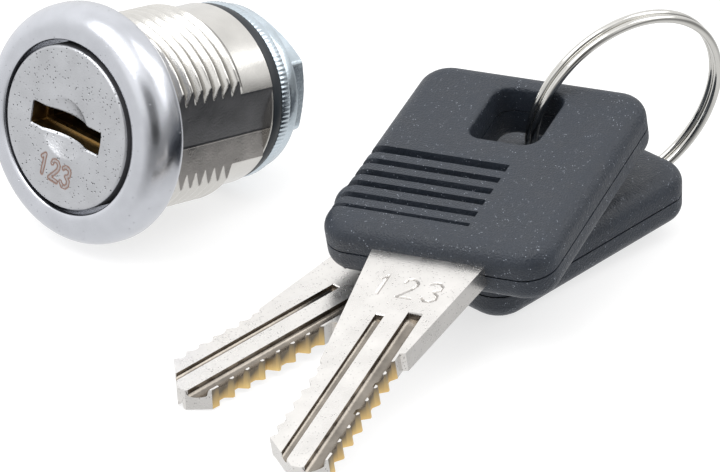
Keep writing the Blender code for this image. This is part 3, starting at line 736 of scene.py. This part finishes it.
def slab(xs, lines, left, right, top, bottom, edge, hole=None):
    """Points, quads and which quads are the right and left walls, of a plate of varying height.

    xs are stations along X, lines the Y of straight columns, left and right the outline as functions of x,
    top and bottom the heights as functions of x and y, and edge the columns that follow the outline.
    """
    low, high = left(xs), right(xs)
    inset = edge[-1]
    if hole is None:
        near = np.clip(lines[None, :], (low + inset)[:, None], (high - inset)[:, None])
        columns = np.hstack([low[:, None] + edge, near, (high[:, None] - edge)[:, ::-1]])
        split = None
    else:
        hole_low, hole_high = hole_edges(xs, hole)
        rim = EDGE_STEPS[:5]
        reach = rim[-1]
        first = np.clip(lines[None, :], (low + inset)[:, None], (hole_low - reach)[:, None])
        second = np.clip(lines[None, :], (hole_high + reach)[:, None], (high - inset)[:, None])
        left_part = np.hstack([low[:, None] + edge, first, (hole_low[:, None] - rim)[:, ::-1]])
        right_part = np.hstack([hole_high[:, None] + rim, second, (high[:, None] - edge)[:, ::-1]])
        columns = np.hstack([left_part, right_part])
        split = left_part.shape[1] - 1
    stations = np.repeat(xs[:, None], columns.shape[1], axis=1)
    upper = np.stack([stations, columns, top(stations, columns)], axis=2)
    lower = np.stack([stations, columns, bottom(stations, columns)], axis=2)
    rows, across = columns.shape
    above = np.arange(rows * across).reshape(rows, across)
    below = above + rows * across
    faces = []
    walls = []
    in_hole = np.zeros(rows - 1, bool)
    if hole is not None:
        in_hole = (xs[:-1] >= hole[0] - 0.0001) & (xs[1:] <= hole[1] + 0.0001)
    for i in range(rows - 1):
        for j in range(across - 1):
            if split is not None and j == split and in_hole[i]:
                continue
            faces.append((above[i, j], above[i + 1, j], above[i + 1, j + 1], above[i, j + 1]))
            faces.append((below[i, j], below[i, j + 1], below[i + 1, j + 1], below[i + 1, j]))
    plain = len(faces)
    for i in range(rows - 1):
        for j, kind in ((0, -1), (across - 1, 1)):
            faces.append((above[i, j], above[i + 1, j], below[i + 1, j], below[i, j]))
            walls.append((kind, (xs[i] + xs[i + 1]) / 2))
    if split is not None:
        for i in np.nonzero(in_hole)[0]:
            for j in (split, split + 1):
                faces.append((above[i, j], above[i + 1, j], below[i + 1, j], below[i, j]))
        for i in (np.nonzero(in_hole)[0][0], np.nonzero(in_hole)[0][-1] + 1):
            faces.append((above[i, split], above[i, split + 1], below[i, split + 1], below[i, split]))
    for i in (0, rows - 1):
        for j in range(across - 1):
            faces.append((above[i, j], above[i, j + 1], below[i, j + 1], below[i, j]))
    points = np.vstack([upper.reshape(-1, 3), lower.reshape(-1, 3)])
    return points, [tuple(int(k) for k in face) for face in faces], plain, walls


def hole_edges(xs, hole):
    x0, x1, y0, y1, corner = hole
    near = np.clip(np.minimum(xs - x0, x1 - xs), 0, corner)
    rise = corner - np.sqrt(np.maximum(corner ** 2 - (corner - near) ** 2, 0))
    return y0 + rise, y1 - rise


def blade_edges():
    """(x, y) along the right and the left edge of a blade."""
    right = [(-1.0, 5.7), (0.0, 5.6), (13.3, 3.72), (13.45, 3.2), (14.6, 3.2)]
    depths = (0.5, 0.9, 0.45, 1.0, 0.55, 0.8, 0.6)
    for index, depth in enumerate(depths):
        middle = 15.4 + index * 1.93
        right += [(middle - 0.85, 3.2), (middle - 0.3, 3.2 - depth), (middle + 0.3, 3.2 - depth),
                  (middle + 0.85, 3.2)]
    right += [(28.7, 3.15), (TIP_X, 1.4)]
    left = [(-1.0, -5.7), (0.0, -5.6), (16.2, -3.4), (16.5, -3.0), (17.0, -3.15)]
    depths = (0.35, 0.5, 0.3, 0.45, 0.38, 0.47)
    for index, depth in enumerate(depths):
        middle = 18.0 + index * 1.68
        left += [(middle - 0.75, -3.2), (middle - 0.2, -3.2 + depth), (middle + 0.25, -3.2 + depth),
                 (middle + 0.8, -3.2)]
    left += [(27.5, -2.8), (29.2, -0.9), (TIP_X, 0.4)]
    return np.array(right), np.array(left)


def blade_mark(x, y):
    amount = np.zeros(np.shape(x))
    for lines, centre in zip(DIGITS, ((4.6, -2.5), (4.6, 0.1), (4.6, 2.5))):
        distance = stroke_distance(x, y, lines, centre, 2.7, math.radians(90))
        amount = np.maximum(amount, 1 - smooth(distance, 0.05, 0.16))
    return amount


def groove_depth(x, y):
    """Two milled grooves with hollow floors along the top of a blade."""
    depth = np.zeros(np.shape(x))
    for start, low, high, deep in GROOVES:
        across = np.clip(2 * (y - low) / (high - low) - 1, -1, 1)
        hollow = deep * (0.55 + 0.45 * np.sqrt(1 - across ** 2)) * (np.abs(across) < 1)
        depth = np.maximum(depth, hollow * smooth(x, start, start + 0.15))
    return depth


def blade_top(x, y):
    drop = 0.12 * blade_mark(x, y)
    return BLADE_T / 2 - drop - groove_depth(x, y)


def blade_bottom(x, y):
    start, low, high, slope, depth = BACK_GROOVE
    across = smooth(y, low, low + slope) * (1 - smooth(y, high - slope, high))
    return -BLADE_T / 2 + depth * smooth(x, start, start + 0.15) * across


def head_left(xs):
    edge = -HEAD[1] / 2 + corner_rise(xs)
    for middle, wide in zip(GRIP_X, GRIP_WIDTH):
        edge = edge + 0.6 * (1 - smooth(np.abs(xs - middle), wide / 2 - 0.06, wide / 2 + 0.06))
    return edge


def head_right(xs):
    return HEAD[1] / 2 - corner_rise(xs)


def corner_rise(xs):
    length, _, _, corner = HEAD
    near = np.clip(np.minimum(xs + length, -xs), 0, corner)
    return corner - np.sqrt(np.maximum(corner ** 2 - (corner - near) ** 2, 0))


def shell_top(x, y):
    length, width, thick, corner = HEAD
    inside = rounded_box_distance(x, y, (-length, 0.0, -width / 2, width / 2), corner)
    inside = np.minimum(inside, np.minimum(y - head_left(x), head_right(x) - y))
    hole_distance = -rounded_box_distance(x, y, HOLE[:4], HOLE[4])
    height = thick / 2 - fillet(np.maximum(inside, 0), HEAD_ROUND)
    height = height - fillet(np.maximum(hole_distance, 0), HOLE_ROUND)
    for middle, wide, deep in zip(GRIP_X, GRIP_WIDTH, GRIP_DEPTH):
        across = 1 - smooth(np.abs(x - middle), wide / 2 - 0.05, wide / 2 + 0.05)
        along = 1 - smooth(y, GRIP_END - 0.05, GRIP_END + 0.05)
        height = np.minimum(height, thick / 2 + 1 - (1 + deep) * across * along)
    return height


def head_stations():
    length = HEAD[0]
    ends = np.concatenate([EDGE_STEPS, [2.0, 2.5, 3.0]])
    xs = np.concatenate([ends - length, -ends, np.arange(-length + 3, -3, 0.22)])
    for middle, wide in zip(GRIP_X, GRIP_WIDTH):
        for side in (-1, 1):
            xs = np.append(xs, middle + side * (wide / 2 + np.array([-0.07, -0.03, 0.03, 0.07])))
    for end, side in ((HOLE[0], 1), (HOLE[1], -1)):
        xs = np.append(xs, end + side * np.array([-0.45, -0.3, -0.16, -0.06, 0.0, 0.03, 0.12, 0.3, 0.6, 1.0]))
    xs = np.sort(xs)
    return xs[np.append(True, np.diff(xs) > 0.012)]


def key(label):
    place, turn, offset = KEYS[label]
    local = placed(place, [math.radians(angle) for angle in turn]) @ Matrix.Translation(offset)
    body = "key_" + label
    right, left = blade_edges()
    xs = np.unique(np.concatenate([
        np.arange(-0.5, TIP_X, 0.11), np.arange(2.9, 6.6, 0.06), [TIP_X], right[1:, 0], left[1:, 0],
    ]))
    xs = xs[xs >= -0.5]
    xs = xs[np.append(True, np.diff(xs) > 0.004)]
    _, back_low, back_high, slope, _ = BACK_GROOVE
    columns = [np.arange(-5.4, 5.4, 0.09), [back_low, back_low + slope, back_high - slope, back_high]]
    for (_, low, high, _), count in zip(GROOVES, GROOVE_COLUMNS):
        columns += [np.linspace(low, high, count), [low - 0.005, high + 0.005]]
    lines = np.unique(np.concatenate(columns))
    points, faces, plain, walls = slab(
        xs, lines,
        lambda x: np.interp(x, left[:, 0], left[:, 1]),
        lambda x: np.interp(x, right[:, 0], right[:, 1]),
        blade_top, blade_bottom, np.array([0.0, 0.08]),
    )
    slots = np.zeros(len(faces), int)
    for index, (side, x) in enumerate(walls):
        slots[plain + index] = 1 if side > 0 and CUT_SPAN[0] < x < CUT_SPAN[1] else 0
    middles = points[np.array(faces[:plain])].mean(axis=1)
    # the groove floors take the darker groove colour, partly the milled metal's tone and partly painted shade
    slots[:plain] = 2 * ((groove_depth(middles[:, 0], middles[:, 1]) > 0.05) & (middles[:, 2] > 0))
    materials = [MATS[name] for name in ("key", "cut", "milled")]
    blade = piece("key_%s_blank" % label, points, faces, local, body, materials,
                  ["key_%s_blade" % label], sharp=30, face_slots=slots)
    spots = local_points(blade, local)
    float_attribute(blade, "print_and_shade", blade_mark(spots[:, 0], spots[:, 1]) * (spots[:, 2] > 0.5))
    # the cut brass walls darken towards the top side of the blade
    float_attribute(blade, "darker_to_top", (spots[:, 2] > 0) * (1.35 + 0.35 * np.sin(3.3 * spots[:, 0])))
    xs = head_stations()
    lines = np.unique(np.concatenate([
        np.arange(-11.3, 11.4, 0.3), [GRIP_END - 0.06, GRIP_END, GRIP_END + 0.06, GRIP_END + 0.12],
    ]))
    points, faces, _, _ = slab(xs, lines, head_left, head_right, shell_top,
                               lambda x, y: np.full(x.shape, SEAM / 2), EDGE_STEPS, HOLE)
    rolled = local @ Matrix.Rotation(math.radians(HEAD_ROLL[label]), 4, "X")
    for side, half in ((1, "top"), (-1, "bottom")):
        piece("key_%s_shell_%s" % (label, half), points * (1, 1, side), faces, rolled, body,
              [MATS["plastic"]], ["key_%s_head_%s" % (label, half)], sharp=32)


def split_ring():
    path = []
    for t in np.linspace(0, 1, 361):
        turns = RING_TURNS * t
        angle = 2 * math.pi * turns
        step = smooth(turns, RING_TURNS / 2 - 0.09, RING_TURNS / 2 + 0.09)
        path.append((RING_R * math.cos(angle), RING_R * math.sin(angle), RING_PITCH * (float(step) - 0.5)))
    points, faces = tube(path, RING_WIRE_R, 20)
    piece("split_ring", points, faces, RING, "ring", [MATS["steel"]], ["key_ring"])


# ---------------------------------------------------------------- studio
def camera():
    data = bpy.data.cameras.new("camera")
    data.lens = CAMERA_LENS
    data.sensor_width = 36.0
    data.clip_start = 0.01
    data.clip_end = 20.0
    obj = bpy.data.objects.new("camera", data)
    elevation = CAMERA_ELEVATION
    back = Vector((0.0, -math.cos(elevation), math.sin(elevation)))
    obj.location = SHIFT + back * CAMERA_DISTANCE
    obj.rotation_euler = (math.pi / 2 - elevation, 0.0, 0.0)
    bpy.context.scene.collection.objects.link(obj)
    bpy.context.scene.camera = obj


def floor():
    half = 3.0
    mesh = bpy.data.meshes.new("floor")
    corners = [(-half, -half, 0), (half, -half, 0), (half, half, 0), (-half, half, 0)]
    mesh.from_pydata(corners, [], [(0, 1, 2, 3)])
    material = bpy.data.materials.new("floor")
    material.use_nodes = True
    shader = material.node_tree.nodes["Principled BSDF"]
    shader.inputs["Base Color"].default_value = (0.36, 0.36, 0.36, 1.0)
    shader.inputs["Roughness"].default_value = 0.9
    shader.inputs["Emission Color"].default_value = (1.0, 1.0, 1.0, 1.0)
    shader.inputs["Emission Strength"].default_value = 0.7
    mesh.materials.append(material)
    obj = bpy.data.objects.new("floor", mesh)
    obj.location.z = -0.0001
    obj.visible_glossy = False
    bpy.context.scene.collection.objects.link(obj)


def area_light(name, place, size, power, colour=(1.0, 1.0, 1.0)):
    data = bpy.data.lights.new(name, "AREA")
    data.shape = "RECTANGLE"
    data.size, data.size_y = size
    data.energy = power
    data.color = colour
    obj = bpy.data.objects.new(name, data)
    obj.location = place
    obj.rotation_mode = "QUATERNION"
    obj.rotation_quaternion = Vector(place).to_track_quat("Z", "Y")
    bpy.context.scene.collection.objects.link(obj)


def direction(azimuth, elevation):
    """Unit vector towards a light, azimuth 0 towards the camera and positive to its right."""
    across = math.cos(math.radians(elevation))
    angle = math.radians(azimuth)
    return (across * math.sin(angle), -across * math.cos(angle), math.sin(math.radians(elevation)))


def studio_world():
    """A white tent with soft boxes in it and darker gaps, so that bright metal has something to mirror."""
    world = bpy.data.worlds.new("studio")
    world.use_nodes = True
    tree = world.node_tree
    background = tree.nodes["Background"]
    view = node(tree, "ShaderNodeTexCoord").outputs["Generated"]
    level = node(tree, "ShaderNodeSeparateXYZ", {0: view}).outputs["Z"]
    light = node(tree, "ShaderNodeMath", {0: 0.0, 1: TENT_LEVEL}, operation="ADD").outputs[0]
    for azimuth, elevation, inner, outer, amount in SOFT_BOXES:
        toward = node(tree, "ShaderNodeVectorMath", {0: view, 1: direction(azimuth, elevation)},
                      operation="DOT_PRODUCT").outputs["Value"]
        lobe = node(tree, "ShaderNodeMapRange", {
            0: toward, 1: math.cos(math.radians(outer)), 2: math.cos(math.radians(inner)), 3: 0.0, 4: amount,
        }, interpolation_type="SMOOTHSTEP").outputs[0]
        light = maths(tree, "ADD", light, lobe)
    side = node(tree, "ShaderNodeVectorMath", {0: view, 1: direction(50, 0)},
                operation="DOT_PRODUCT").outputs["Value"]
    below = remap(tree, level, -0.75, -0.2, 0.0, 1.0)
    above = remap(tree, level, 0.1, 0.3, 1.0, 0.0)
    band = maths(tree, "MULTIPLY", maths(tree, "MULTIPLY", below, above),
                 remap(tree, side, -0.1, 0.5, 0.0, 1.0))
    light = maths(tree, "SUBTRACT", light, maths(tree, "MULTIPLY", band, HORIZON_DARK))
    light = maths(tree, "MAXIMUM", light, 0.03)
    tree.links.new(light, background.inputs[0])
    background.inputs[1].default_value = 1.0
    bpy.context.scene.world = world


camera()
floor()
flange()
barrel()
plug()
tail()
wafer_springs()
key("a")
key("b")
split_ring()
studio_world()
area_light("key_light", (-0.25, -0.15, 0.6), (0.5, 0.5), 2.2)
area_light("fill_light", (0.45, 0.1, 0.5), (0.35, 0.5), 1.0)

scene = bpy.context.scene
scene.view_settings.view_transform = "Standard"
